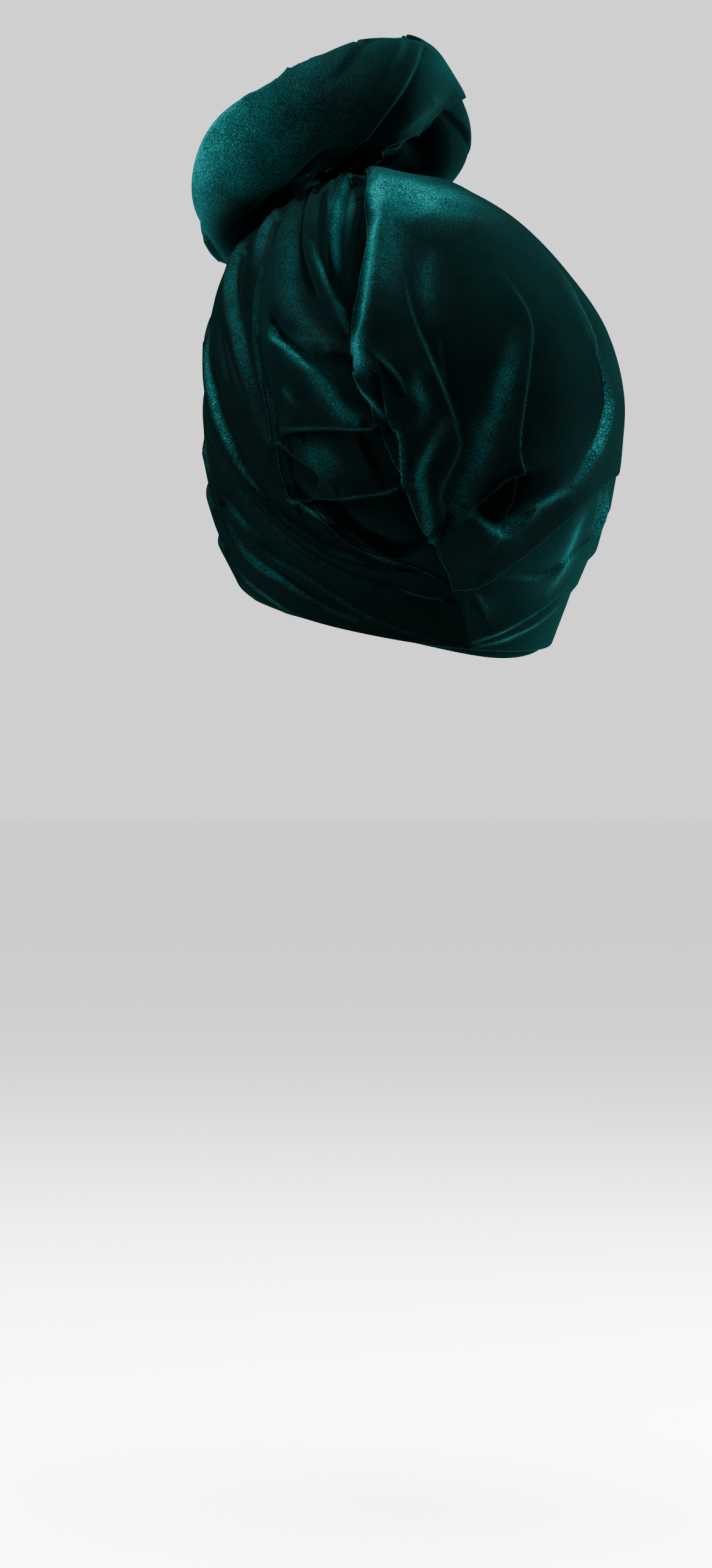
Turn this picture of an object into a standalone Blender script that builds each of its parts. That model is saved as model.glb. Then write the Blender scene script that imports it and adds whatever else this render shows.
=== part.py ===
"""Turban headwrap of stretch velvet, wrapped to a gather on the crown, with a twisted ring as topknot.

Metres, +Z up. The face looks along -Y and the wearer's left is +X. The origin is the middle of
the head opening. Azimuths are degrees round the head, 0 at the back and positive to the wearer's
left. "Down" is a share of the way over the cap, 0 at the gather and 1 at its lowest section.
"""

import math

import bmesh
import bpy
import numpy as np

# The cap's own sizes.
CAP_HEIGHT = 0.2165
CAP_WIDTH = 0.188
CAP_DEPTH = 0.228
CLOTH = 0.002
SEAM_INSET = 0.0005
GATHER_DOWN = 0.012

# The head opening's edge, which rises from the nape to the brow.
HEM_BACK = -0.010
HEM_BROW = 0.042
HEM_TURN = 12.0
HEM_POWER = 0.6

# The rolled band inside the edge, which shows below it at the back.
BAND_THICKNESS = 0.002
BAND_CLEARANCE = 0.0008
BAND_INSIDE = 0.008
BAND_SHOWS = 0.0045
BAND_SHOWS_AT = -16.0
BAND_SHOWS_OVER = 42.0

# The topknot: a padded roll bent into a ring that stands up at the back and to the wearer's right.
RING_RADIUS = 0.046
RING_TILT = 33.0
RING_LEAN = 7.0
RING_BEHIND = -0.071
RING_ABOVE = 0.018
ROLL_RADIUS = 0.024
STRANDS = 3
STRAND_TWIST = 1
STRAND_GROOVE = 0.0028
ROLL_CLEARANCE = 0.0016
PRESS_STEPS = 144

# Folded edges of the upper layers stand proud of what they lie on.
EDGE_PROUD = 0.0032
EDGE_WIDTH = 0.016

# Near the hem the folds run out: ridges keep this share of their height, valleys none.
HEM_RIDGE_SHARE = 0.3

# Folds start and end softly, at these shares of the way along them.
FOLD_START = 0.03
FOLD_END = 0.97

# The gathered panel stops a little short of the corner, where all panels meet.
RUCHED_END = 0.985

# Small steps round and down the bare cap, to find what stands square on it.
NORMAL_TURN = 1.0
NORMAL_DOWN = 0.004

# Velvet of each piece: (red, green, blue) in linear light.
VELVET_COLOURS = {
    "crown_panel": (0.010, 0.062, 0.058),
    "ruched_panel": (0.008, 0.050, 0.047),
    "left_wrap": (0.012, 0.070, 0.064),
    "nape_wrap": (0.007, 0.045, 0.043),
    "hem_band": (0.006, 0.038, 0.036),
    "topknot_roll": (0.014, 0.080, 0.074),
}
VELVET_ROUGHNESS = 0.7
VELVET_SHEEN = 0.5

# Mesh fineness.
ROWS_DOWN = 32
CROWN_COLUMNS = 32
RUCHED_COLUMNS = 11
LEFT_COLUMNS = 16
NAPE_ROWS = 6
BAND_STATIONS = 48
BAND_SIDES = 6
ROLL_STATIONS = 44
ROLL_SIDES = 18
FOLD_STEPS = 40
HEIGHT_STEPS = 400
EDGE_STEPS = 300
BACK_CROWDING = 1.15

# Sections from the gather down to the opening.
# (height / CAP_HEIGHT, width / CAP_WIDTH, depth / CAP_DEPTH, middle's Y / half of CAP_DEPTH)
SECTIONS = (
    (1.000, 0.000, 0.000, -0.500),
    (0.990, 0.275, 0.320, -0.300),
    (0.950, 0.440, 0.495, -0.245),
    (0.880, 0.640, 0.685, -0.200),
    (0.775, 0.830, 0.845, -0.140),
    (0.645, 0.955, 0.955, -0.025),
    (0.490, 1.000, 1.000, 0.045),
    (0.335, 0.980, 0.965, 0.020),
    (0.195, 0.905, 0.895, 0.000),
    (0.075, 0.780, 0.765, -0.015),
    (-0.090, 0.640, 0.650, -0.025),
)

# Seam from the gather down the back to the corner where all panels meet: azimuth at equal steps down.
CORNER_AZIMUTH = 14.0
CORNER_DOWN = 0.895
BACK_SEAM = (42, 42, 42, 41, 39, 42, 46, 41, 32, 24, 14)

# The crown panel's lower edge, round the right side to the front: (azimuth, down)
CROWN_EDGE = (
    (14, 0.895),
    (5, 0.892),
    (-4, 0.862),
    (-14, 0.806),
    (-27, 0.745),
    (-41, 0.700),
    (-65, 0.670),
    (-100, 0.650),
    (-140, 0.630),
    (-180, 0.610),
)

# The left wrap, from the gather to the pinched line under the corner: its upper rim, and its far
# edge down the front and back along the hem.
# (rim azimuth, rim down, far azimuth, far down / down of the hem there)
LEFT_WRAP = (
    (78, 0.00, 180, 0.00),
    (78, 0.19, 180, 0.17),
    (78, 0.36, 180, 0.34),
    (78, 0.48, 180, 0.54),
    (75, 0.57, 180, 0.78),
    (70, 0.655, 172, 1.00),
    (65, 0.735, 140, 1.00),
    (56, 0.775, 108, 1.00),
    (46, 0.825, 74, 1.00),
    (30, 0.855, 38, 1.00),
    (14, 0.895, 4, 1.00),
)

# The ring at equal turns, from the back by way of the wearer's left and the front.
# (reach / RING_RADIUS, rise above its plane / RING_RADIUS, thickness / ROLL_RADIUS)
RING = (
    (1.00, -0.12, 1.16),
    (1.00, -0.05, 0.98),
    (1.01, 0.02, 1.09),
    (1.04, -0.14, 1.27),
    (1.00, 0.22, 1.10),
    (0.98, 0.10, 0.92),
    (1.03, -0.02, 0.74),
    (0.88, 0.25, 0.86),
    (1.00, -0.12, 1.16),
)

# Folds: each a ridge, or a valley where proud is negative, along its own path of (azimuth, down).
# (name, width / CAP_WIDTH, proud / CAP_WIDTH, path)
FOLDS = (
    ("left_pleat_high", 0.045, 0.014, ((100, 0.38), (87, 0.49), (77, 0.595), (70, 0.65))),
    ("left_pleat_1", 0.045, 0.016, ((107, 0.54), (96, 0.62), (84, 0.69), (73, 0.75), (45, 0.83))),
    ("left_pleat_2", 0.040, 0.014, ((113, 0.595), (98, 0.66), (82, 0.725), (53, 0.835), (20, 0.89))),
    ("left_pleat_3", 0.045, 0.016, ((106, 0.69), (97, 0.755), (88, 0.82), (73, 0.873), (51, 0.925))),
    ("left_valley", 0.035, -0.014, ((100, 0.78), (88, 0.85), (73, 0.895), (50, 0.90), (32, 0.93))),
    ("gather_ridge", 0.035, 0.022, ((57, 0.12), (53, 0.30), (50, 0.37), (47, 0.48))),
    ("gather_valley", 0.035, -0.014, ((62, 0.15), (60, 0.33), (57, 0.40), (50, 0.49))),
    ("lit_band", 0.050, 0.016, ((72, 0.20), (70, 0.33), (65, 0.41), (58, 0.48), (52, 0.515))),
    ("hook_valley", 0.035, -0.020, ((68, 0.50), (60, 0.525), (52, 0.535), (47, 0.535))),
    ("hook_fold", 0.045, 0.020, ((70, 0.485), (61, 0.540), (52, 0.590), (46, 0.62))),
    ("middle_valley", 0.040, -0.022, ((67, 0.645), (51, 0.650), (41, 0.645))),
    ("middle_fold", 0.055, 0.016, ((66, 0.680), (52, 0.690), (40, 0.695))),
    ("low_valley", 0.040, -0.022, ((62, 0.750), (50, 0.765), (36, 0.780), (26, 0.800))),
    ("crown_ridge_1", 0.060, 0.016, ((26, 0.40), (23, 0.53), (17, 0.63), (17, 0.66), (21, 0.725))),
    ("crown_valley_1", 0.060, -0.014, ((16, 0.50), (12, 0.60), (9, 0.68), (14, 0.77))),
    ("crown_ridge_2", 0.070, 0.016, ((-3, 0.49), (1, 0.54), (6, 0.615), (8, 0.675), (14, 0.75))),
    ("crown_ridge_3", 0.045, 0.016, ((-12, 0.47), (-6, 0.565), (-5, 0.63), (-6, 0.69), (-3, 0.75))),
    ("crown_pocket", 0.065, -0.030, ((-9, 0.71), (1, 0.735))),
    ("crown_crescent", 0.060, 0.018, ((-37, 0.52), (-40, 0.59), (-36, 0.65), (-24, 0.70), (-2, 0.79))),
    ("crown_layer", 0.090, 0.016, ((-58, 0.22), (-46, 0.36), (-45, 0.47), (-52, 0.56))),
    ("seam_hook", 0.045, 0.018, ((36, 0.545), (36, 0.585), (37, 0.64), (33, 0.70))),
    ("nape_bulge", 0.090, 0.016, ((-28, 0.80), (-48, 0.76), (-75, 0.74))),
    ("nape_fold", 0.040, 0.014, ((-4, 0.93), (-18, 0.90), (-34, 0.87), (-52, 0.83))),
)


def smooth(table, share):
    """Points of the smooth curve through a table's rows, at shares of the way from row to row."""
    rows = np.asarray(table, float).reshape(len(table), -1)
    place = np.clip(np.asarray(share, float), 0, 1) * (len(rows) - 1)
    first = np.minimum(place.astype(int), len(rows) - 2)
    part = (place - first)[..., None]
    before = rows[np.maximum(first - 1, 0)]
    start = rows[first]
    end = rows[first + 1]
    after = rows[np.minimum(first + 2, len(rows) - 1)]
    slope_start = (end - before) / 2
    slope_end = (after - start) / 2
    square = part ** 2
    cube = part ** 3
    return (start * (2 * cube - 3 * square + 1) + slope_start * (cube - 2 * square + part)
            + end * (3 * square - 2 * cube) + slope_end * (cube - square))


def form(azimuth, down):
    """Points of the bare cap, without folds."""
    height, width, depth, middle = np.moveaxis(smooth(SECTIONS, down), -1, 0)
    turn = np.radians(azimuth)
    x = CAP_WIDTH / 2 * width * np.sin(turn)
    y = CAP_DEPTH / 2 * (middle + depth * np.cos(turn))
    return np.stack([x, y, CAP_HEIGHT * height + 0 * turn], axis=-1)


def outward(azimuth, down):
    """Unit vectors that stand square on the bare cap."""
    low = np.clip(down + NORMAL_DOWN, 0, 1)
    high = np.clip(down - NORMAL_DOWN, GATHER_DOWN / 2, 1)
    across = form(azimuth + NORMAL_TURN, down) - form(azimuth - NORMAL_TURN, down)
    along = form(azimuth, low) - form(azimuth, high)
    normal = np.cross(across, along)
    return normal / np.linalg.norm(normal, axis=-1, keepdims=True)


def down_at(height):
    """How far down the cap a height lies, for heights below the crown's top."""
    shares = np.linspace(0, 1, HEIGHT_STEPS)
    heights = CAP_HEIGHT * smooth(SECTIONS, shares)[:, 0]
    return np.interp(-np.asarray(height), -heights, shares)


def hem_down(azimuth):
    """Where the opening's edge lies: low at the nape, high at the brow."""
    toward_back = (1 + np.cos(np.radians(np.asarray(azimuth, float) + HEM_TURN))) / 2
    return down_at(HEM_BROW - (HEM_BROW - HEM_BACK) * toward_back ** HEM_POWER)


def nearest(points, line):
    """Distance of each point from a line of short straight steps, and the share along it."""
    away = np.full(points.shape[:-1], np.inf)
    along = np.zeros(points.shape[:-1])
    for index in range(len(line) - 1):
        step = line[index + 1] - line[index]
        reach = np.clip((points - line[index]) @ step / (step @ step), 0, 1)
        distance = np.linalg.norm(points - line[index] - reach[..., None] * step, axis=-1)
        closer = distance < away
        away = np.where(closer, distance, away)
        along = np.where(closer, (index + reach) / (len(line) - 1), along)
    return away, along


def path_on_cap(path):
    """A line on the bare cap through a few points of (azimuth, down)."""
    azimuth, down = smooth(path, np.linspace(0, 1, FOLD_STEPS)).T
    return form(azimuth, down)


def folds(points):
    """How far the folds lift or sink each point of the bare cap."""
    relief = np.zeros(points.shape[:-1])
    for _name, width, proud, path in FOLDS:
        away, along = nearest(points, path_on_cap(path))
        fade = np.sqrt(np.sin(np.pi * np.clip(along, FOLD_START, FOLD_END)))
        relief += proud * CAP_WIDTH * fade * np.exp(-(away / (width * CAP_WIDTH)) ** 2)
    return relief


def ring_axes():
    """The ring's own directions: to the wearer's left, to the back, and square to its plane."""
    tilt = math.radians(RING_TILT)
    lean = math.radians(RING_LEAN)
    left = np.array([math.cos(lean), 0, -math.sin(lean)])
    back = np.array([0, math.cos(tilt), math.sin(tilt)])
    square = np.cross(left, back)
    return left, back, square / np.linalg.norm(square)


def ring_shares(turn):
    """Reach, rise and thickness shares at angles round the ring, smooth past its start too."""
    looped = RING[-2:-1] + RING + RING[1:2]
    place = (np.asarray(turn) / (2 * np.pi)) % 1.0
    return np.moveaxis(smooth(looped, (1 + place * (len(RING) - 1)) / (len(looped) - 1)), -1, 0)


def ring_line(turn):
    """Centre line of the topknot's ring, at angles from the back by way of the wearer's left."""
    left, back, square = ring_axes()
    reach, rise, _thickness = ring_shares(turn)
    middle = np.array([0, RING_BEHIND, CAP_HEIGHT + RING_ABOVE])
    out = np.sin(turn)[..., None] * left + np.cos(turn)[..., None] * back
    return middle + RING_RADIUS * (reach[..., None] * out + rise[..., None] * square)


def roll_radius(turn):
    """The roll's radius at angles round the ring."""
    return ROLL_RADIUS * ring_shares(turn)[2]


def press_under_roll(points):
    """Cloth that the topknot rests on gives way, so that the roll's underside stays clear of it."""
    turns = np.linspace(0, 2 * np.pi, PRESS_STEPS + 1)
    line = ring_line(turns)
    away, along = nearest(points, line)
    turn = along * 2 * np.pi
    centre = ring_line(turn)
    reach = roll_radius(turn) + ROLL_CLEARANCE
    direction = (points - centre) / away[..., None]
    return np.where((away < reach)[..., None], centre + direction * reach[..., None], points)


def layer(azimuth, down, proud_edge=None):
    """Outer and inner points of one cloth layer, with its folds and its proud folded edge."""
    bare = form(azimuth, down)
    normal = outward(azimuth, down)
    relief = folds(bare)
    if proud_edge is not None:
        away, _along = nearest(bare, proud_edge)
        relief = relief + EDGE_PROUD * np.exp(-(away / EDGE_WIDTH) ** 2)
    above_hem = (hem_down(azimuth) - down) * CAP_HEIGHT
    free = np.clip((above_hem - BAND_INSIDE) / BAND_INSIDE, 0, 1)
    kept = HEM_RIDGE_SHARE + (1 - HEM_RIDGE_SHARE) * free
    relief = relief * np.where(relief < 0, free, kept)
    outer = press_under_roll(bare + normal * relief[..., None])
    return inset(outer), inset(outer - normal * CLOTH)


def inset(grid):
    """A grid whose four edges are drawn in a little, so that panels meet with a gap."""
    grid = grid.copy()
    for axis in (0, 1):
        lines = np.moveaxis(grid, axis, 0)
        for edge, beside in ((0, 1), (-1, -2)):
            step = lines[beside] - lines[edge]
            length = np.linalg.norm(step, axis=-1, keepdims=True)
            lines[edge] += step / length * np.minimum(SEAM_INSET, length / 3)
    return grid


def seam_point(share):
    """Azimuth and down of the back seam, at shares of the way from the gather to the corner."""
    azimuth = smooth(BACK_SEAM, share)[..., 0]
    return azimuth, GATHER_DOWN + share * (CORNER_DOWN - GATHER_DOWN)


def rim_point(share):
    """Azimuth and down of the left wrap's rim, at shares of the way from the gather."""
    azimuth, down = np.moveaxis(smooth(LEFT_WRAP, share), -1, 0)[:2]
    return azimuth, np.maximum(down, GATHER_DOWN)


def crown_edge_down(azimuth):
    """Down of the crown panel's lower edge at an azimuth."""
    shares = np.linspace(0, 1, EDGE_STEPS)
    edge = smooth(CROWN_EDGE, shares)
    return np.interp(-np.asarray(azimuth), -edge[:, 0], edge[:, 1])


def crown_columns():
    """Shares round the crown panel, closer together at the back than at the hidden front."""
    return np.linspace(0, 1, CROWN_COLUMNS + 1) ** BACK_CROWDING


def crown_panel():
    """The smooth panel over the crown and the right side."""
    along, round_head = np.meshgrid(np.linspace(0, 1, ROWS_DOWN + 1), crown_columns(), indexing="ij")
    seam_azimuth, _down = seam_point(along)
    azimuth = seam_azimuth + round_head * (-180 - seam_azimuth)
    foot = crown_edge_down(CORNER_AZIMUTH + round_head * (-180 - CORNER_AZIMUTH))
    down = GATHER_DOWN + along * (foot - GATHER_DOWN)
    edge = form(*seam_point(np.linspace(0, 1, FOLD_STEPS)))
    return layer(azimuth, down, edge)


def ruched_panel():
    """The gathered panel between the left wrap's rim and the back seam."""
    along, across = np.meshgrid(np.linspace(0, RUCHED_END, ROWS_DOWN + 1),
                                np.linspace(0, 1, RUCHED_COLUMNS + 1), indexing="ij")
    rim_azimuth, rim_down = rim_point(along)
    seam_azimuth, seam_down = seam_point(along)
    azimuth = rim_azimuth + across * (seam_azimuth - rim_azimuth)
    down = rim_down + across * (seam_down - rim_down)
    return layer(azimuth, down)


def left_wrap():
    """The pleated wrap that comes round the left side and sweeps down to the nape."""
    along, across = np.meshgrid(np.linspace(0, 1, ROWS_DOWN + 1),
                                np.linspace(0, 1, LEFT_COLUMNS + 1), indexing="ij")
    _azimuth, _down, far_azimuth, far_reach = np.moveaxis(smooth(LEFT_WRAP, along), -1, 0)
    rim_azimuth, rim_down = rim_point(along)
    far_azimuth = np.minimum(far_azimuth, 180)
    far_down = np.maximum(np.minimum(far_reach, 1) * hem_down(far_azimuth), GATHER_DOWN)
    azimuth = rim_azimuth + across * (far_azimuth - rim_azimuth)
    down = rim_down + across * (far_down - rim_down)
    edge = form(*rim_point(np.linspace(0, 1, FOLD_STEPS)))
    return layer(azimuth, down, edge)


def nape_wrap():
    """The under layer that shows below the crown panel, from the nape round the right side."""
    across, round_head = np.meshgrid(np.linspace(0, 1, NAPE_ROWS + 1), crown_columns(), indexing="ij")
    top_azimuth = CORNER_AZIMUTH + round_head * (-180 - CORNER_AZIMUTH)
    pinch_azimuth = LEFT_WRAP[-1][2]
    foot_azimuth = pinch_azimuth + round_head * (-180 - pinch_azimuth)
    azimuth = top_azimuth + across * (foot_azimuth - top_azimuth)
    top = crown_edge_down(top_azimuth)
    down = top + across * (hem_down(foot_azimuth) - top)
    return layer(azimuth, down)


def shell(name, sides):
    """One closed body from a layer's outer and inner grids."""
    outer, inner = sides
    rows, columns = outer.shape[:2]
    points = np.concatenate([outer.reshape(-1, 3), inner.reshape(-1, 3)])
    behind = rows * columns

    def at(row, column):
        return row * columns + column

    faces = []
    for row in range(rows - 1):
        for column in range(columns - 1):
            quad = (at(row, column), at(row + 1, column), at(row + 1, column + 1), at(row, column + 1))
            faces.append(quad)
            faces.append(tuple(corner + behind for corner in reversed(quad)))
    border = [at(0, column) for column in range(columns)]
    border += [at(row, columns - 1) for row in range(1, rows)]
    border += [at(rows - 1, column) for column in range(columns - 2, -1, -1)]
    border += [at(row, 0) for row in range(rows - 2, 0, -1)]
    for first, second in zip(border, border[1:] + border[:1]):
        faces.append((first, second, second + behind, first + behind))
    return body(name, points, faces)


def tube(name, rings):
    """One closed body from rings of points that follow each other round a loop."""
    stations, sides = rings.shape[:2]
    faces = []
    for station in range(stations):
        following = (station + 1) % stations
        for side in range(sides):
            beside = (side + 1) % sides
            faces.append((station * sides + side, station * sides + beside,
                          following * sides + beside, following * sides + side))
    return body(name, rings.reshape(-1, 3), faces)


def topknot_roll():
    """Rings of the padded roll, with grooves between the strands that wind round it."""
    turns = np.linspace(0, 2 * np.pi, ROLL_STATIONS, endpoint=False)
    angles = np.linspace(0, 2 * np.pi, ROLL_SIDES, endpoint=False)
    turn, angle = np.meshgrid(turns, angles, indexing="ij")
    left, back, square = ring_axes()
    side = np.sin(turn)[..., None] * left + np.cos(turn)[..., None] * back
    strand = np.abs(np.sin((STRANDS * angle - STRAND_TWIST * STRANDS * turn) / 2))
    radius = roll_radius(turn) - STRAND_GROOVE * (1 - strand) ** 2
    out = side * np.cos(angle)[..., None] + square * np.sin(angle)[..., None]
    return ring_line(turn) + out * radius[..., None]


def hem_band():
    """Rings of the thin band inside the opening's edge, which shows below it at the back."""
    azimuths = np.linspace(-180, 180, BAND_STATIONS, endpoint=False)
    angles = np.linspace(0, 2 * np.pi, BAND_SIDES, endpoint=False) + np.pi / BAND_SIDES
    azimuth, angle = np.meshgrid(azimuths, angles, indexing="ij")
    shows = BAND_SHOWS * np.exp(-((azimuth - BAND_SHOWS_AT) / BAND_SHOWS_OVER) ** 2)
    hem_height = form(azimuth, hem_down(azimuth))[..., 2]
    half_height = (BAND_INSIDE + shows) / 2
    height = hem_height + BAND_INSIDE / 2 - shows / 2 + half_height * np.sin(angle)
    down = down_at(height)
    across = 1 - np.cos(angle) / math.cos(np.pi / BAND_SIDES)
    depth = CLOTH + BAND_CLEARANCE + BAND_THICKNESS / 2 * across
    return form(azimuth, down) - outward(azimuth, down) * depth[..., None]


def velvet(name, colour):
    """Plain velvet for one piece: (red, green, blue) in linear light, dull, with some sheen."""
    material = bpy.data.materials.new(name)
    material.use_nodes = True
    shader = material.node_tree.nodes["Principled BSDF"]
    shader.inputs["Base Color"].default_value = (*colour, 1)
    shader.inputs["Roughness"].default_value = VELVET_ROUGHNESS
    shader.inputs["Sheen Weight"].default_value = VELVET_SHEEN
    return material


def body(name, points, faces):
    """A named mesh object with its own material and smooth shading."""
    mesh = bpy.data.meshes.new(name)
    mesh.from_pydata([tuple(point) for point in points], [], faces)
    edit = bmesh.new()
    edit.from_mesh(mesh)
    bmesh.ops.recalc_face_normals(edit, faces=edit.faces)
    bmesh.ops.triangulate(edit, faces=edit.faces)
    edit.to_mesh(mesh)
    edit.free()
    mesh.shade_smooth()
    mesh.materials.append(velvet(name, VELVET_COLOURS[name]))
    piece = bpy.data.objects.new(name, mesh)
    bpy.data.collections["turban"].objects.link(piece)
    return piece


def build():
    """Clears the scene and builds every piece of the turban."""
    for piece in list(bpy.data.objects):
        bpy.data.objects.remove(piece, do_unlink=True)
    collection = bpy.data.collections.new("turban")
    bpy.context.scene.collection.children.link(collection)
    shell("crown_panel", crown_panel())
    shell("ruched_panel", ruched_panel())
    shell("left_wrap", left_wrap())
    shell("nape_wrap", nape_wrap())
    tube("hem_band", hem_band())
    tube("topknot_roll", topknot_roll())


build()
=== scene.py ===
import math

import bpy
import numpy as np
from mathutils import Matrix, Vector
from mathutils.bvhtree import BVHTree


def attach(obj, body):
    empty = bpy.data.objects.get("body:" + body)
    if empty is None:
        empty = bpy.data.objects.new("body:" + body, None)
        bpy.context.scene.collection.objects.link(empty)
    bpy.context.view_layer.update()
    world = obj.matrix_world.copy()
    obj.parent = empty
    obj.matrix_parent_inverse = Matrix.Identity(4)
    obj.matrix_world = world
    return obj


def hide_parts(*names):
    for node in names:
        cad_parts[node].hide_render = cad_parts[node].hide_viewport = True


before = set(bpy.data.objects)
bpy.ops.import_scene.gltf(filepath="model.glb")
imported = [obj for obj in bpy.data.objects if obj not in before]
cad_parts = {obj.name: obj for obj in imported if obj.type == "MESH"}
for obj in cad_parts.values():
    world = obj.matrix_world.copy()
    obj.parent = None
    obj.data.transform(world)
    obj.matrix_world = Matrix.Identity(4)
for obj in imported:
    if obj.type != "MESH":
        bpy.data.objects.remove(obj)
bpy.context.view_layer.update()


# The view.
# The camera looks level at the turban's back from its left side, from 2.2 metres.
# It comes first, because the folds are laid where this view shows them.
VIEW_TURN = math.radians(25.0)
VIEW_FAR = 2.2
METRES_PER_PIXEL = 0.000285
PICTURE = (1169, 2576)
AXIS_AT_X = 670.0
OPENING_AT_Y = 1040.0
LONG_SIDE_MM = 36.0

toward = np.array([math.sin(VIEW_TURN), math.cos(VIEW_TURN), 0.0])
rightward = np.array([-math.cos(VIEW_TURN), math.sin(VIEW_TURN), 0.0])
upward = np.array([0.0, 0.0, 1.0])
eye = (toward * VIEW_FAR + rightward * (PICTURE[0] / 2 - AXIS_AT_X) * METRES_PER_PIXEL
       + upward * (OPENING_AT_Y - PICTURE[1] / 2) * METRES_PER_PIXEL)

camera_data = bpy.data.cameras.new("camera")
camera_data.sensor_fit = "AUTO"
camera_data.sensor_width = LONG_SIDE_MM
camera_data.lens = LONG_SIDE_MM * VIEW_FAR / (PICTURE[1] * METRES_PER_PIXEL)
camera_data.clip_end = 60.0
camera = bpy.data.objects.new("camera", camera_data)
camera.location = Vector(eye)
camera.rotation_euler = Vector(-toward).to_track_quat("-Z", "Y").to_euler()
bpy.context.collection.objects.link(camera)
bpy.context.scene.camera = camera


# The crown panel.
# A panel of stretch velvet, cut in one piece and gathered at the crown. It fans out over the
# crown and the right side, with a folded edge along the back seam and round its foot.
CAP_HEIGHT = 0.2165
CAP_WIDTH = 0.188
CAP_DEPTH = 0.228
CLOTH = 0.0016
GATHER_DOWN = 0.0015
MM = 0.001

# (height, width, depth, middle) of the sections from the gather to the opening
SECTIONS = (
    (1.000, 0.000, 0.000, -0.500),
    (0.990, 0.275, 0.320, -0.300),
    (0.950, 0.440, 0.495, -0.245),
    (0.880, 0.640, 0.685, -0.200),
    (0.775, 0.830, 0.845, -0.140),
    (0.645, 0.955, 0.955, -0.025),
    (0.490, 1.000, 1.000, 0.045),
    (0.335, 0.980, 0.965, 0.020),
    (0.195, 0.905, 0.895, 0.000),
    (0.075, 0.780, 0.765, -0.015),
    (-0.090, 0.640, 0.650, -0.025),
)
HEM_BACK = -0.010
HEM_BROW = 0.042
HEM_TURN = 12.0
HEM_POWER = 0.6

CORNER_AZIMUTH = 14.0
CORNER_DOWN = 0.895
BACK_SEAM = (42, 42, 42, 41, 39, 42, 46, 41, 32, 24, 14)
CROWN_EDGE = (
    (14, 0.895),
    (5, 0.892),
    (-4, 0.862),
    (-14, 0.810),
    (-27, 0.756),
    (-41, 0.715),
    (-65, 0.690),
    (-100, 0.662),
    (-140, 0.630),
    (-180, 0.610),
)

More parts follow.
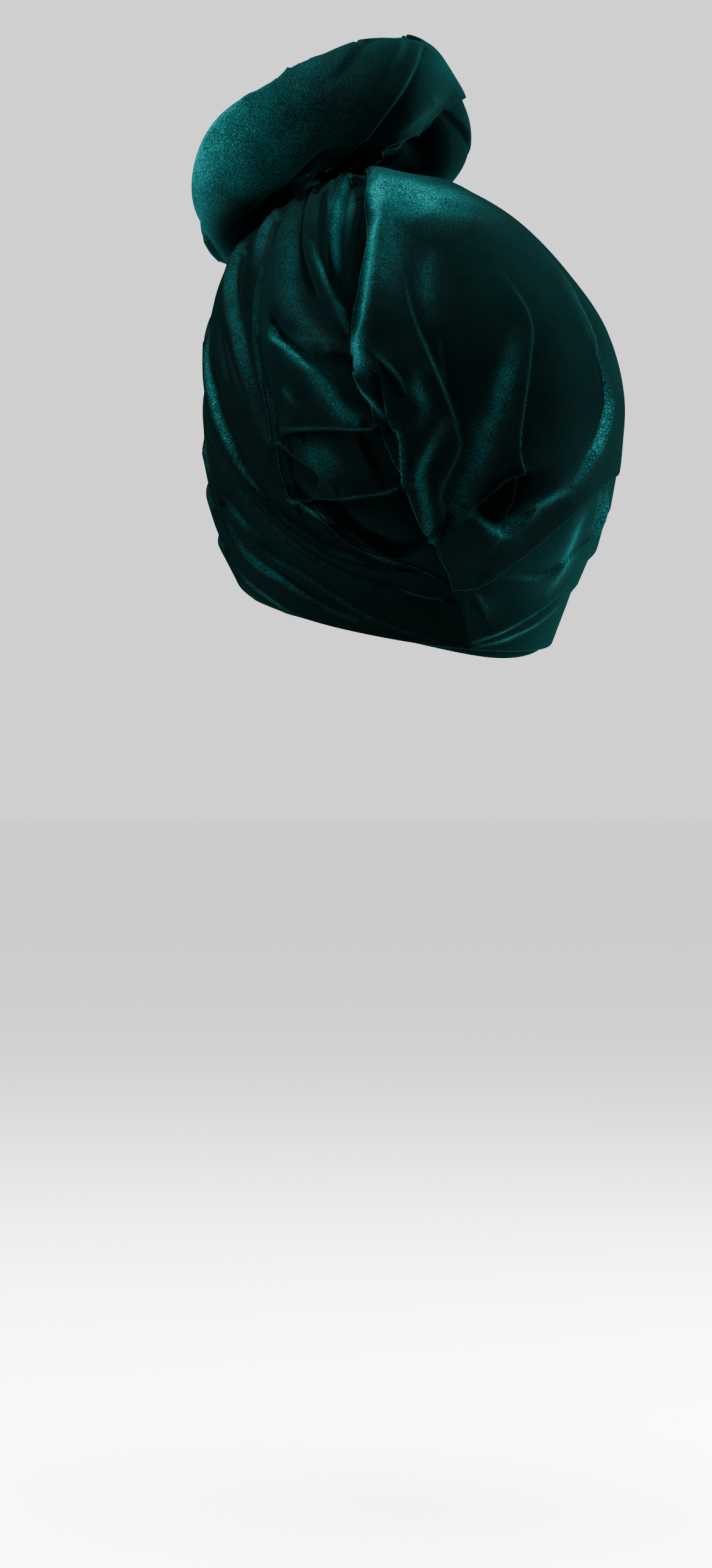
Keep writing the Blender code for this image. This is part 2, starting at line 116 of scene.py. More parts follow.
# Every fold of the cap, where the view shows it: which side of its line stands up, then in
# millimetres how far that side stands proud, how deep the other side sinks, how far the raised
# side reaches, how wide the step between them is and how far the sunk side reaches, then the
# strength at both ends, the strength of the highlight painted along the line (a negative strength
# paints shade instead) and how many millimetres wide that painted light shows, and its line in
# picture pixels.
FOLDS = (
    # pleats of the left wrap
    ("pleat_a", "left", 3.4, 2.6, 9, 4.5, 5, 0.8, 0.2, 0.42, 2.2,
     ((397, 405), (386, 430), (380, 455), (380, 485), (384, 515), (392, 545), (402, 590),
      (414, 635), (430, 688), (455, 736))),
    ("pleat_a2", "right", 2.4, 1.6, 5, 4.0, 4, 0.6, 0.1, 0.25, 1.4,
     ((404, 425), (400, 455), (397, 490), (400, 520))),
    ("pleat_b", "left", 1.8, 1.2, 6, 1.8, 5, 0.1, 0.1, 0.25, 0.7,
     ((361, 533), (365, 567), (371, 600), (379, 636), (383, 667))),
    ("pleat_c", "left", 1.4, 1.2, 5, 1.8, 4, 0.1, 0.1, 0.25, 0.7,
     ((369, 555), (383, 600), (403, 642), (419, 678))),
    ("rim_high", "left", 1.2, 1.6, 6, 2.0, 6, 0.5, 0.8, 0.28, 0.8,
     ((461, 343), (451, 370), (440, 405), (432, 440), (426, 475), (422, 511), (421, 560),
      (425, 600), (438, 646), (447, 669), (454, 694), (456, 730), (466, 760), (474, 789),
      (484, 820))),
    ("k1", "left", 3.4, 2.6, 9, 3.4, 7, 0.2, 0.2, 0.95, 0.7,
     ((343, 536), (340, 572), (342, 611), (349, 644), (357, 678), (367, 705), (380, 733),
      (394, 764), (411, 790), (432, 819))),
    ("k1_tail", "left", 3.4, 2.6, 9, 2.6, 7, 0.5, 0.4, 0.25, 0.7,
     ((432, 819), (454, 841), (476, 860), (504, 879), (548, 904), (586, 916), (617, 926),
      (651, 932))),
    ("k1_low", "below", 2.2, 2.0, 5, 2.2, 5, 0.2, 0.6, 0.3, 0.7,
     ((335, 664), (342, 700), (355, 733), (372, 764), (389, 791), (417, 829), (445, 857),
      (482, 888), (514, 910), (551, 932), (589, 951), (632, 963), (682, 976), (726, 985))),
    ("k2", "left", 0.8, 0.6, 5, 2.0, 4, 0.3, 0.1, 0.35, 1.0,
     ((333, 719), (339, 755), (347, 789))),
    ("k2_dark", "above", 1.0, 2.4, 5, 2.0, 4, 0.1, 0.4, 0.0, 1.0,
     ((651, 966), (689, 979), (726, 985))),
    ("k3", "left", 2.6, 1.8, 6, 3.0, 5, 0.2, 0.1, 0.4, 0.9,
     ((373, 819), (386, 841), (407, 866), (436, 888))),
    ("k3_low", "below", 2.2, 2.6, 5, 2.0, 4, 0.2, 0.3, 0.3, 0.7,
     ((367, 832), (392, 866), (420, 894), (451, 919), (489, 941), (532, 969), (576, 997),
      (617, 1019), (664, 1038), (704, 1051), (742, 1063))),
    ("k4", "below", 2.6, 5.0, 8, 3.0, 3.4, 0.3, 0.2, 0.5, 0.8,
     ((367, 835), (376, 866), (389, 894), (407, 916), (429, 935), (461, 954), (495, 976),
      (523, 991), (551, 1007), (586, 1019))),
    # Painted shade: a black slit above the k4 line, with almost no relief.
    ("k4_dark", "above", 0.2, 0.2, 6, 3.0, 4, 0.2, 0.1, -1.0, 1.6,
     ((395, 888), (420, 915), (448, 936), (482, 958), (520, 982), (565, 1000))),
    ("hem_1", "below", 2.0, 1.6, 6, 1.8, 6, 0.3, 0.1, 0.4, 0.8,
     ((379, 916), (401, 951), (439, 982), (476, 1007), (520, 1026))),
    ("hem_2", "below", 2.0, 1.6, 6, 1.8, 6, 0.3, 0.6, 0.4, 0.8,
     ((392, 954), (423, 985), (470, 1010), (520, 1029), (570, 1041), (620, 1055), (664, 1060),
      (692, 1060))),
    # between the gather and the hook
    ("strip_left", "left", 2.2, 1.8, 6, 4.0, 5, 0.4, 0.1, 0.4, 2.6,
     ((452, 345), (440, 375), (430, 410), (424, 445))),
    ("lit_band", "left", 4.4, 4.0, 9, 9.0, 6, 0.4, 0.5, 0.34, 4.2,
     ((488, 330), (480, 365), (476, 400), (474, 446), (477, 488), (493, 521), (517, 547),
      (539, 567))),
    ("layer_edge", "right", 3.4, 3.2, 7, 2.0, 6, 0.4, 0.2, 0.4, 0.8,
     ((523, 296), (508, 329), (501, 364), (499, 399), (505, 435), (517, 470), (529, 493))),
    ("ridge_c", "left", 3.0, 2.6, 5, 3.6, 4, 0.3, 0.3, 0.6, 1.3,
     ((514, 399), (523, 426), (535, 455), (546, 482), (555, 505), (564, 535))),
    ("ridge_d2", "left", 1.8, 1.4, 3, 1.6, 3, 0.4, 0.1, 0.3, 0.8,
     ((557, 288), (549, 305), (546, 329), (546, 352))),
    # Painted shade: the three valley rows below darken the valleys, with almost no relief.
    ("valley_e", "left", 0.2, 0.2, 3, 1.6, 3, 0.6, 0.3, -0.95, 2.6,
     ((590, 296), (593, 330), (591, 360), (584, 402), (579, 446), (574, 485), (571, 512))),
    ("valley_d", "left", 0.2, 0.2, 3, 1.6, 3, 0.4, 0.3, -0.85, 1.7,
     ((536, 320), (533, 352), (534, 390), (540, 430), (548, 462), (556, 492))),
    ("valley_c", "left", 0.2, 0.2, 3, 1.6, 3, 0.4, 0.2, -0.85, 1.6,
     ((513, 305), (501, 333), (494, 366), (492, 400), (497, 437), (510, 474))),
    ("ridge_d", "left", 4.2, 5.0, 4, 3.4, 5, 0.7, 0.3, 0.6, 1.1,
     ((574, 289), (564, 308), (557, 329), (551, 355), (549, 388), (549, 423), (548, 446),
      (552, 482), (560, 511), (567, 543))),
    ("ridge_e", "right", 4.6, 7.5, 14, 9.0, 5, 0.5, 0.5, 0.58, 4.2,
     ((610, 284), (620, 323), (619, 358), (612, 402), (607, 446), (601, 491), (594, 526),
      (587, 552), (585, 579), (588, 608))),
    # the gathered panel
    ("lobe_crease", "above", 1.6, 3.4, 6, 3.4, 5, 0.25, 0.6, 0.0, 1.0,
     ((458, 541), (483, 562), (508, 581), (539, 586), (573, 583))),
    ("lobe", "below", 0.6, 0.4, 6, 4.0, 6, 0.3, 0.3, 0.25, 4.5,
     ((462, 548), (485, 556), (510, 560), (535, 560))),
    ("hook_lip", "below", 4.0, 4.0, 6, 2.6, 5, 0.6, 0.3, 0.7, 1.6,
     ((450, 539), (455, 556), (474, 570), (492, 587), (508, 603))),
    ("hook_fold", "below", 4.6, 5.0, 8, 6.5, 8, 0.5, 0.7, 0.5, 3.2,
     ((484, 580), (500, 592), (518, 609), (535, 635), (557, 670), (588, 691))),
    ("hook_spot", "above", 1.6, 1.2, 5, 4.0, 6, 0.2, 0.2, 0.2, 3.5,
     ((462, 640), (475, 652), (490, 664))),
    ("fold_g", "above", 3.0, 4.0, 7, 2.0, 9, 0.35, 0.8, 0.35, 0.9,
     ((461, 716), (467, 709), (492, 705), (533, 704), (580, 705), (602, 705), (614, 700))),
    ("fold_i", "above", 2.4, 3.4, 7, 2.2, 6, 0.5, 0.3, 0.3, 0.9,
     ((455, 731), (474, 747), (499, 762), (521, 775), (527, 787), (524, 797))),
    ("fold_i_band", "left", 2.4, 2.0, 6, 8.0, 8, 0.4, 0.3, 0.42, 4.6,
     ((502, 731), (524, 750), (543, 773), (550, 790))),
    ("fold_h", "above", 3.0, 3.6, 8, 1.8, 8, 0.35, 0.8, 0.35, 0.9,
     ((481, 822), (508, 823), (549, 823), (586, 817), (624, 812), (649, 805))),
    ("fold_j", "below", 2.6, 6.5, 7, 2.6, 6, 0.5, 0.5, 0.0, 1.0,
     ((492, 814), (514, 828), (542, 843), (564, 862), (595, 882), (625, 901), (651, 910),
      (678, 902), (700, 886))),
    ("fold_j_rim", "below", 0.4, 0.4, 6, 3.0, 6, 0.9, 0.3, 0.5, 1.0,
     ((479, 822), (507, 838), (536, 854), (557, 872), (589, 894), (620, 913), (651, 922))),
    # Painted shade in the cavity above the rim.
    ("fold_j_dark", "above", 0.4, 0.4, 6, 3.0, 6, 0.2, 0.2, -1.0, 2.4,
     ((535, 846), (558, 866), (590, 886), (622, 900), (648, 905))),
    ("fold_j_roof", "above", 1.6, 2.0, 6, 2.0, 4, 0.2, 0.2, 0.15, 1.0,
     ((546, 859), (580, 875), (617, 883))),
    ("seam_dark", "left", 1.6, 3.0, 6, 4.0, 5, 0.3, 0.3, 0.0, 1.0,
     ((583, 706), (605, 750), (624, 787))),
    # the crown's own folds
    # Painted highlights: crown_top and beside_seam are broad painted bright patches with little
    # relief.
    ("crown_top", "above", 0.6, 0.6, 20, 14.0, 20, 0.9, 0.1, 0.68, 24.0,
     ((625, 320), (660, 318), (700, 325), (740, 340), (785, 375))),
    ("beside_seam", "left", 0.6, 0.6, 12, 12.0, 12, 0.6, 0.1, 0.3, 9.0,
     ((640, 345), (640, 400), (632, 460), (622, 520))),
    ("seam_edge", "right", 3.4, 2.6, 6, 4.0, 5, 0.7, 0.3, 0.6, 1.6,
     ((580, 604), (590, 634), (601, 650), (616, 666), (628, 684))),
    ("seam_lit", "left", 0.4, 0.4, 6, 4.0, 6, 0.4, 0.3, 0.5, 4.0,
     ((590, 552), (592, 575), (596, 600), (604, 622))),
    ("seam_slot", "right", 3.0, 4.5, 7, 2.0, 5, 0.3, 0.8, 0.35, 0.9,
     ((624, 616), (630, 644), (636, 675), (642, 700), (655, 719), (663, 792))),
    ("hook_top", "above", 2.2, 2.2, 6, 2.5, 4, 0.3, 0.3, 0.2, 1.0,
     ((605, 640), (608, 624), (616, 613), (625, 616), (630, 632))),
    ("hook_arc", "right", 2.6, 3.2, 8, 3.0, 6, 0.2, 0.1, 0.35, 1.2,
     ((608, 575), (633, 597), (652, 617), (662, 641), (661, 662))),
    ("wedge_1", "left", 3.4, 4.0, 5, 6.5, 8, 0.2, 0.7, 0.3, 1.6,
     ((650, 690), (657, 722), (663, 755), (665, 790))),
    ("wedge_2", "left", 3.6, 3.4, 6, 7.0, 7, 0.3, 0.8, 0.45, 2.4,
     ((730, 694), (711, 728), (696, 759), (690, 781), (696, 812), (702, 844), (708, 881))),
    ("pinch_slot", "right", 2.6, 4.5, 5, 2.0, 5, 0.6, 0.8, 0.2, 1.0,
     ((661, 803), (676, 835), (690, 862), (705, 884))),
    ("crown_patch", "left", 2.6, 2.2, 10, 9.0, 10, 0.1, 0.1, 0.27, 5.5,
     ((716, 405), (704, 445), (700, 490), (697, 535))),
    ("crown_patch_2", "right", 2.6, 2.8, 7, 8.0, 9, 0.1, 0.2, 0.34, 3.4,
     ((679, 608), (685, 638), (694, 667), (682, 702))),
    ("ridge_r1", "left", 3.0, 3.4, 7, 2.6, 10, 0.2, 0.6, 0.35, 1.0,
     ((658, 435), (667, 464), (673, 499), (682, 529), (697, 564), (714, 604), (730, 640),
      (743, 676), (753, 712), (757, 730), (753, 750), (738, 781), (725, 809), (725, 825),
      (732, 845))),
    ("ridge_r1b", "left", 1.0, 0.8, 5, 1.6, 5, 0.1, 0.1, 0.15, 0.9,
     ((721, 541), (724, 575), (729, 612), (732, 631))),
    ("ridge_r2", "right", 3.2, 4.0, 9, 10.0, 10, 0.1, 0.6, 0.36, 4.4,
     ((840, 537), (840, 566), (834, 600), (824, 637), (815, 675), (799, 712), (784, 759),
      (765, 800), (746, 838))),
    ("ridge_r3", "left", 3.4, 3.4, 8, 2.6, 14, 0.1, 0.7, 0.35, 1.0,
     ((846, 475), (865, 506), (874, 537), (874, 562), (870, 594), (865, 631), (860, 669),
      (856, 700), (854, 737), (857, 762), (860, 775), (852, 803), (843, 828), (835, 847))),
    ("pocket_roof", "above", 2.0, 6.5, 6, 3.0, 7, 0.8, 0.3, 0.2, 1.0,
     ((856, 781), (837, 787), (815, 806), (793, 828), (781, 838))),
    # Painted shade inside the pocket.
    ("pocket_dark", "above", 0.2, 0.2, 6, 3.0, 6, 0.4, 0.4, -1.0, 6.0,
     ((845, 800), (830, 818), (815, 835), (812, 845))),
    ("pocket_rim", "below", 4.0, 5.0, 8, 5.0, 7, 0.3, 0.4, 0.75, 2.4,
     ((777, 844), (793, 856), (812, 869), (831, 872), (846, 862), (865, 850))),
    ("pocket_band", "above", 2.6, 3.0, 9, 8.0, 8, 0.2, 0.3, 0.35, 4.2,
     ((865, 850), (890, 831), (915, 816), (937, 806))),
    # Partly relief, partly painted shade along the crescent's valley.
    ("crescent_valley", "left", 2.0, 3.0, 10, 3.0, 4, 0.2, 0.2, -0.6, 2.0,
     ((966, 562), (979, 600), (987, 640), (988, 675), (976, 715))),
    ("crescent", "right", 1.0, 4.5, 7, 5.0, 5, 0.1, 0.2, 1.0, 2.0,
     ((977, 562), (990, 600), (999, 637), (1002, 669), (998, 700), (987, 731), (971, 759),
      (956, 781), (940, 795))),
    ("right_layer", "left", 2.4, 3.0, 12, 2.5, 8, 0.1, 0.5, 0.25, 5.0,
     ((890, 406), (927, 459), (949, 503), (968, 541), (981, 575), (987, 612))),
    # the under layer
    ("nape_1", "below", 1.4, 1.4, 7, 2.5, 7, 0.2, 0.2, 0.3, 1.2,
     ((808, 945), (852, 950), (892, 946), (925, 925), (950, 900))),
    ("nape_2", "right", 3.2, 2.0, 6, 4.0, 7, 0.2, 0.2, 0.6, 3.2,
     ((990, 806), (988, 837), (981, 862), (971, 878))),
    ("nape_2b", "left", 0.8, 0.6, 9, 8.0, 8, 0.1, 0.1, 0.4, 6.0,
     ((965, 837), (949, 869), (934, 912), (915, 950), (890, 975))),
    ("nape_3", "above", 2.6, 2.2, 7, 2.4, 6, 0.3, 0.3, 0.45, 1.2,
     ((775, 1056), (825, 1038), (886, 1002), (935, 960))),
    ("nape_3b", "above", 1.8, 1.6, 6, 2.0, 6, 0.3, 0.3, 0.45, 1.2,
     ((783, 1063), (830, 1052), (880, 1028), (915, 1000))),
    ("nape_4", "right", 1.4, 1.4, 5, 2.0, 4, 0.5, 0.5, 0.1, 1.0,
     ((762, 979), (770, 1010), (771, 1035), (768, 1057))),
    ("nape_5", "right", 1.8, 1.8, 5, 3.0, 5, 0.3, 0.2, 0.3, 1.4,
     ((782, 972), (790, 985), (798, 1000), (803, 1025))),
)

# Folds that run on round the front and the right side, plainly: the same columns, with the line
# in azimuth degrees and shares of the way down.
ROUND_FOLDS = (
    ("round_1", "below", 1.8, 1.4, 11, 5.0, 9, 0.5, 0.3, 0.30, 1.8,
     ((114, 0.505), (126, 0.455), (142, 0.41), (160, 0.38), (177, 0.37))),
    ("round_2", "below", 1.6, 1.3, 10, 5.0, 8, 0.5, 0.3, 0.26, 1.8,
     ((115, 0.61), (128, 0.56), (145, 0.52), (162, 0.495), (177, 0.485))),
    ("round_3", "below", 1.6, 1.3, 9, 5.0, 7, 0.4, 0.3, 0.24, 1.8,
     ((114, 0.665), (130, 0.62), (147, 0.585), (163, 0.565), (177, 0.56))),
    ("round_4", "below", 1.8, 1.4, 9, 5.0, 7, 0.5, 0.3, 0.28, 1.8,
     ((108, 0.745), (122, 0.71), (140, 0.675), (160, 0.65), (177, 0.64))),
    ("round_5", "below", 1.4, 1.2, 8, 5.0, 6, 0.5, 0.3, 0.22, 1.8,
     ((108, 0.81), (124, 0.785), (142, 0.755), (160, 0.735), (177, 0.725))),
    ("round_6", "below", 1.4, 1.2, 12, 6.0, 9, 0.2, 0.3, 0.20, 2.0,
     ((108, 0.30), (122, 0.29), (140, 0.275), (160, 0.27), (177, 0.275))),
    ("crown_1", "above", 2.0, 1.6, 16, 10.0, 12, 0.2, 0.2, 0.16, 5.0,
     ((-62, 0.20), (-72, 0.32), (-82, 0.45), (-90, 0.57), (-96, 0.64))),
    ("crown_2", "above", 2.0, 1.6, 16, 10.0, 12, 0.2, 0.2, 0.16, 5.0,
     ((-100, 0.16), (-112, 0.28), (-123, 0.41), (-130, 0.53), (-134, 0.61))),
    ("crown_3", "above", 1.6, 1.4, 16, 10.0, 12, 0.2, 0.2, 0.14, 5.0,
     ((-142, 0.18), (-150, 0.30), (-156, 0.43), (-160, 0.55), (-162, 0.60))),
    ("right_1", "above", 1.8, 1.5, 9, 6.0, 8, 0.2, 0.3, 0.22, 2.2,
     ((-52, 0.765), (-80, 0.735), (-110, 0.71), (-145, 0.685), (-177, 0.665))),
    ("right_2", "above", 1.8, 1.5, 9, 6.0, 8, 0.2, 0.3, 0.22, 2.2,
     ((-48, 0.84), (-78, 0.805), (-110, 0.775), (-145, 0.745), (-177, 0.725))),
    ("right_3", "above", 1.4, 1.2, 8, 6.0, 6, 0.2, 0.3, 0.18, 2.0,
     ((-45, 0.90), (-75, 0.87), (-108, 0.83), (-145, 0.79), (-177, 0.775))),
)


def smooth(table, share):
    """Points of the smooth curve through a table's rows, at shares of the way from row to row."""
    rows = np.asarray(table, float).reshape(len(table), -1)
    place = np.clip(np.asarray(share, float), 0, 1) * (len(rows) - 1)
    first = np.minimum(place.astype(int), len(rows) - 2)
    part = (place - first)[..., None]
    before = rows[np.maximum(first - 1, 0)]
    start = rows[first]
    end = rows[first + 1]
    after = rows[np.minimum(first + 2, len(rows) - 1)]
    slope_start = (end - before) / 2
    slope_end = (after - start) / 2
    square = part ** 2
    cube = part ** 3
    return (start * (2 * cube - 3 * square + 1) + slope_start * (cube - 2 * square + part)
            + end * (3 * square - 2 * cube) + slope_end * (cube - square))


def cap(azimuth, down):
    """Points of the bare cap, without folds."""
    height, width, depth, middle = np.moveaxis(smooth(SECTIONS, down), -1, 0)
    turn = np.radians(azimuth)
    x = CAP_WIDTH / 2 * width * np.sin(turn)
    y = CAP_DEPTH / 2 * (middle + depth * np.cos(turn))
    return np.stack([x, y, CAP_HEIGHT * height + 0 * turn], axis=-1)


NORMAL_TURN = 1.0
NORMAL_DOWN = 0.004


def square_to_cap(azimuth, down):
    """Unit vectors that stand square on the bare cap."""
    across = cap(azimuth + NORMAL_TURN, down) - cap(azimuth - NORMAL_TURN, down)
    low = np.clip(down + NORMAL_DOWN, 0, 1)
    high = np.clip(down - NORMAL_DOWN, GATHER_DOWN / 2, 1)
    normal = np.cross(across, cap(azimuth, low) - cap(azimuth, high))
    return normal / np.linalg.norm(normal, axis=-1, keepdims=True)


def down_at(height):
    """How far down the cap a height lies."""
    shares = np.linspace(0, 1, 400)
    heights = CAP_HEIGHT * smooth(SECTIONS, shares)[:, 0]
    return np.interp(-np.asarray(height), -heights, shares)


def hem_down(azimuth):
    """Where the opening's edge lies: low at the nape, high at the brow."""
    toward_back = (1 + np.cos(np.radians(np.asarray(azimuth, float) + HEM_TURN))) / 2
    return down_at(HEM_BROW - (HEM_BROW - HEM_BACK) * toward_back ** HEM_POWER)


def surface_tree(grid):
    """A tree of a grid of points, to find where a line of sight meets it."""
    rows, columns = grid.shape[:2]
    points = [Vector(point) for point in grid.reshape(-1, 3)]
    quads = []
    for row in range(rows - 1):
        for first in range(row * columns, (row + 1) * columns - 1):
            quads.append((first, first + columns, first + columns + 1, first + 1))
    return BVHTree.FromPolygons(points, quads)


SIGHT_TRIES = 6


def touch(tree, pixels):
    """Where the lines of sight through picture pixels meet a surface, and its normals there. A
    line that passes it by gives the surface's nearest place."""
    places = []
    normals = []
    for x, y in pixels:
        ray = (-toward * VIEW_FAR + rightward * (x - PICTURE[0] / 2) * METRES_PER_PIXEL
               - upward * (y - PICTURE[1] / 2) * METRES_PER_PIXEL)
        ray = Vector(ray).normalized()
        place, normal, _index, _far = tree.ray_cast(Vector(eye), ray)
        if place is None:
            beside = Vector(eye) + ray * VIEW_FAR
            place, normal, _index, _far = tree.find_nearest(beside)
            for _again in range(SIGHT_TRIES):
                beside = Vector(eye) + ray * (place - Vector(eye)).dot(ray)
                place, normal, _index, _far = tree.find_nearest(beside)
        if normal.dot(ray) > 0:
            normal = -normal
        places.append(place)
        normals.append(normal)
    return np.array(places), np.array(normals)


PICTURE_SIDES = {"left": -rightward, "right": rightward, "above": upward, "below": -upward}
FOLD_STEPS = 26
FOLD_REACHES = 2.6
FOLD_ROUNDED = 1.6
PAINTED_HIGHLIGHT_ROUNDED = 1.8
FOLD_ENDS = (0, 0.3, 0.7, 1)
PAINTED_HIGHLIGHT_ENDS = (0, 0.3, 0.6, 1)


def fold_path(fold):
    """A fold's line as close steps, in the terms of its table."""
    return smooth(fold[-1], np.linspace(0, 1, FOLD_STEPS))


def lay_fold(fold, line, normals):
    """One fold's sizes with its line on a surface, and the sign of its raised side."""
    _name, up, proud, sink, rise, fall, settle, begins, ends, painted_strength, wide, _path = fold
    middle = FOLD_STEPS // 2
    across = np.cross(normals[middle], line[middle + 1] - line[middle - 1])
    sign = 1.0 if across @ PICTURE_SIDES[up] > 0 else -1.0
    sizes = [size * MM for size in (proud, sink, rise, fall, settle)]
    return line, sign, sizes, (begins, ends), (painted_strength, wide * MM)


def fold_height(points, normals, laid):
    """How far a laid fold lifts or sinks each point, and the highlight it paints there, or the
    shade where its strength is negative.
    """
    line, sign, (proud, sink, rise, fall, settle), (begins, ends), (painted_strength, wide) = laid
    height = np.zeros(points.shape[:-1])
    fold_painted_light = np.zeros(points.shape[:-1])
    reach = FOLD_REACHES * max(rise, settle, wide)
    low, high = line.min(axis=0) - reach, line.max(axis=0) + reach
    near = np.all((points > low) & (points < high), axis=-1)
    spots = points[near]
    if not len(spots):
        return height, fold_painted_light
    away = np.full(len(spots), np.inf)
    side = np.zeros(len(spots))
    along = np.zeros(len(spots))
    for index in range(len(line) - 1):
        step = line[index + 1] - line[index]
        reach_along = np.clip((spots - line[index]) @ step / (step @ step), 0, 1)
        apart = spots - line[index] - reach_along[:, None] * step
        distance = np.linalg.norm(apart, axis=-1)
        closer = distance < away
        away = np.where(closer, distance, away)
        turned = np.einsum("ij,ij->i", apart, np.cross(normals[near], step)) * sign
        side = np.where(closer, np.where(turned < 0, -distance, distance), side)
        along = np.where(closer, (index + reach_along) / (len(line) - 1), along)
    strength = np.interp(along, FOLD_ENDS, (begins, 1, 1, ends))
    high = proud * np.exp(-np.abs(np.maximum(side, 0) / rise) ** FOLD_ROUNDED)
    low = -sink * np.exp(-np.abs(np.minimum(side, 0) / settle) ** FOLD_ROUNDED)
    share = np.clip(side / fall + 0.5, 0, 1)
    share = share * share * (3 - 2 * share)
    height[near] = strength * (low + (high - low) * share)
    # Painted highlight along the fold's line, and painted shade where the strength is negative.
    end_to_end = np.interp(along, PAINTED_HIGHLIGHT_ENDS, (begins, 1, 1, ends))
    fold_painted_light[near] = painted_strength * end_to_end * np.exp(-np.abs(away / wide) ** PAINTED_HIGHLIGHT_ROUNDED)
    return height, fold_painted_light


cap_azimuths, cap_downs = np.meshgrid(np.linspace(-180, 180, 181), np.linspace(0, 1, 121))
cap_tree = surface_tree(cap(cap_azimuths, cap_downs))
laid_folds = [lay_fold(fold, *touch(cap_tree, fold_path(fold))) for fold in FOLDS]
for fold in ROUND_FOLDS:
    azimuth, down = fold_path(fold).T
    laid_folds.append(lay_fold(fold, cap(azimuth, down), square_to_cap(azimuth, down)))

# The topknot rests on the crown, and the cloth under it gives way.
RING_RADIUS = 0.046
RING_TILT = math.radians(33.0)
RING_LEAN = math.radians(7.0)
RING_MIDDLE = np.array([0.0, -0.071, CAP_HEIGHT + 0.018])
ROLL_RADIUS = 0.024
ROLL_CLEARANCE = 0.0016
ROLL_PRESSES_ABOVE = 0.72

# (reach, rise, thickness) at equal turns, from the back by way of the left side and the front
RING = (
    (1.00, -0.12, 1.16),
    (1.00, -0.05, 0.98),
    (1.01, 0.02, 1.09),
    (1.04, -0.14, 1.27),
    (1.00, 0.22, 1.10),
    (0.98, 0.10, 0.92),
    (1.03, -0.02, 0.74),
    (0.88, 0.25, 0.86),
    (1.00, -0.12, 1.16),
)
ring_left = np.array([math.cos(RING_LEAN), 0, -math.sin(RING_LEAN)])
ring_back = np.array([0, math.cos(RING_TILT), math.sin(RING_TILT)])
ring_square = np.cross(ring_left, ring_back)
ring_square /= np.linalg.norm(ring_square)


def ring_shares(turn):
    """Reach, rise and thickness shares at angles round the ring."""
    looped = RING[-2:-1] + RING + RING[1:2]
    place = (np.asarray(turn) / (2 * np.pi)) % 1.0
    return np.moveaxis(smooth(looped, (1 + place * (len(RING) - 1)) / (len(looped) - 1)), -1, 0)


def ring_line(turn):
    """Centre line of the topknot's ring."""
    reach, rise, _thickness = ring_shares(turn)
    out = np.sin(turn)[..., None] * ring_left + np.cos(turn)[..., None] * ring_back
    return RING_MIDDLE + RING_RADIUS * (reach[..., None] * out + rise[..., None] * ring_square)


def press_under_roll(points, clearance):
    """Moves points that the roll would cover out to just clear of it."""
    turns = np.linspace(0, 2 * np.pi, 145)
    line = ring_line(turns)
    flat = points.reshape(-1, 3).copy()
    near = flat[:, 2] > CAP_HEIGHT * ROLL_PRESSES_ABOVE
    spots = flat[near]
    away = np.full(len(spots), np.inf)
    turn = np.zeros(len(spots))
    for index in range(len(line) - 1):
        step = line[index + 1] - line[index]
        share = np.clip((spots - line[index]) @ step / (step @ step), 0, 1)
        distance = np.linalg.norm(spots - line[index] - share[:, None] * step, axis=-1)
        closer = distance < away
        away = np.where(closer, distance, away)
        turn = np.where(closer, turns[index] + share * (turns[1] - turns[0]), turn)
    centre = ring_line(turn)
    reach = ROLL_RADIUS * ring_shares(turn)[2] + clearance
    pressed = centre + (spots - centre) / away[:, None] * reach[:, None]
    flat[near] = np.where((away < reach)[:, None], pressed, spots)
    return flat.reshape(points.shape)


def line_distance(points, line):
    """Distance of each point from a line of short straight steps."""
    away = np.full(points.shape[:-1], np.inf)
    for index in range(len(line) - 1):
        step = line[index + 1] - line[index]
        share = np.clip((points - line[index]) @ step / (step @ step), 0, 1)
        apart = points - line[index] - share[..., None] * step
        away = np.minimum(away, np.linalg.norm(apart, axis=-1))
    return away


HEM_FLATTENS = 0.016
HEM_KEEPS = 0.25
PAINTED_HIGHLIGHTS_ADD = 0.35


def dress(azimuth, down, lift):
    """Outer and inner points of one layer that follows every fold, lifted by a height of its own,
    and the light and shade that the folds paint on it."""
    bare = cap(azimuth, down)
    normal = square_to_cap(azimuth, down)
    relief = np.zeros(bare.shape[:-1])
    painted_light = np.zeros(bare.shape[:-1])
    pressed = np.ones(bare.shape[:-1])
    for laid in laid_folds:
        height, fold_painted_light = fold_height(bare, normal, laid)
        relief += height
        # A row with a negative strength paints shade: pressed keeps the share it leaves unshaded,
        # and the rest is painted towards black.
        if fold_painted_light.min() < 0:
            pressed = pressed * (1 + fold_painted_light)
        else:
            painted_light = np.maximum(painted_light, fold_painted_light) + PAINTED_HIGHLIGHTS_ADD * np.minimum(painted_light, fold_painted_light)
    above_hem = (hem_down(azimuth) - down) * CAP_HEIGHT
    free = np.clip(above_hem / HEM_FLATTENS, 0, 1)
    relief = relief * (HEM_KEEPS + (1 - HEM_KEEPS) * free) + lift
    outer = bare + normal * relief[..., None]
    inner = outer - normal * CLOTH
    outer = press_under_roll(outer, ROLL_CLEARANCE)
    inner = press_under_roll(inner, ROLL_CLEARANCE + CLOTH)
    return outer, inner, np.clip(painted_light, 0, 1) * pressed - (1 - pressed)


# Painted highlight: the least painted light on the rounded border of every piece.
EDGE_PAINTED_LIGHT = 0.3


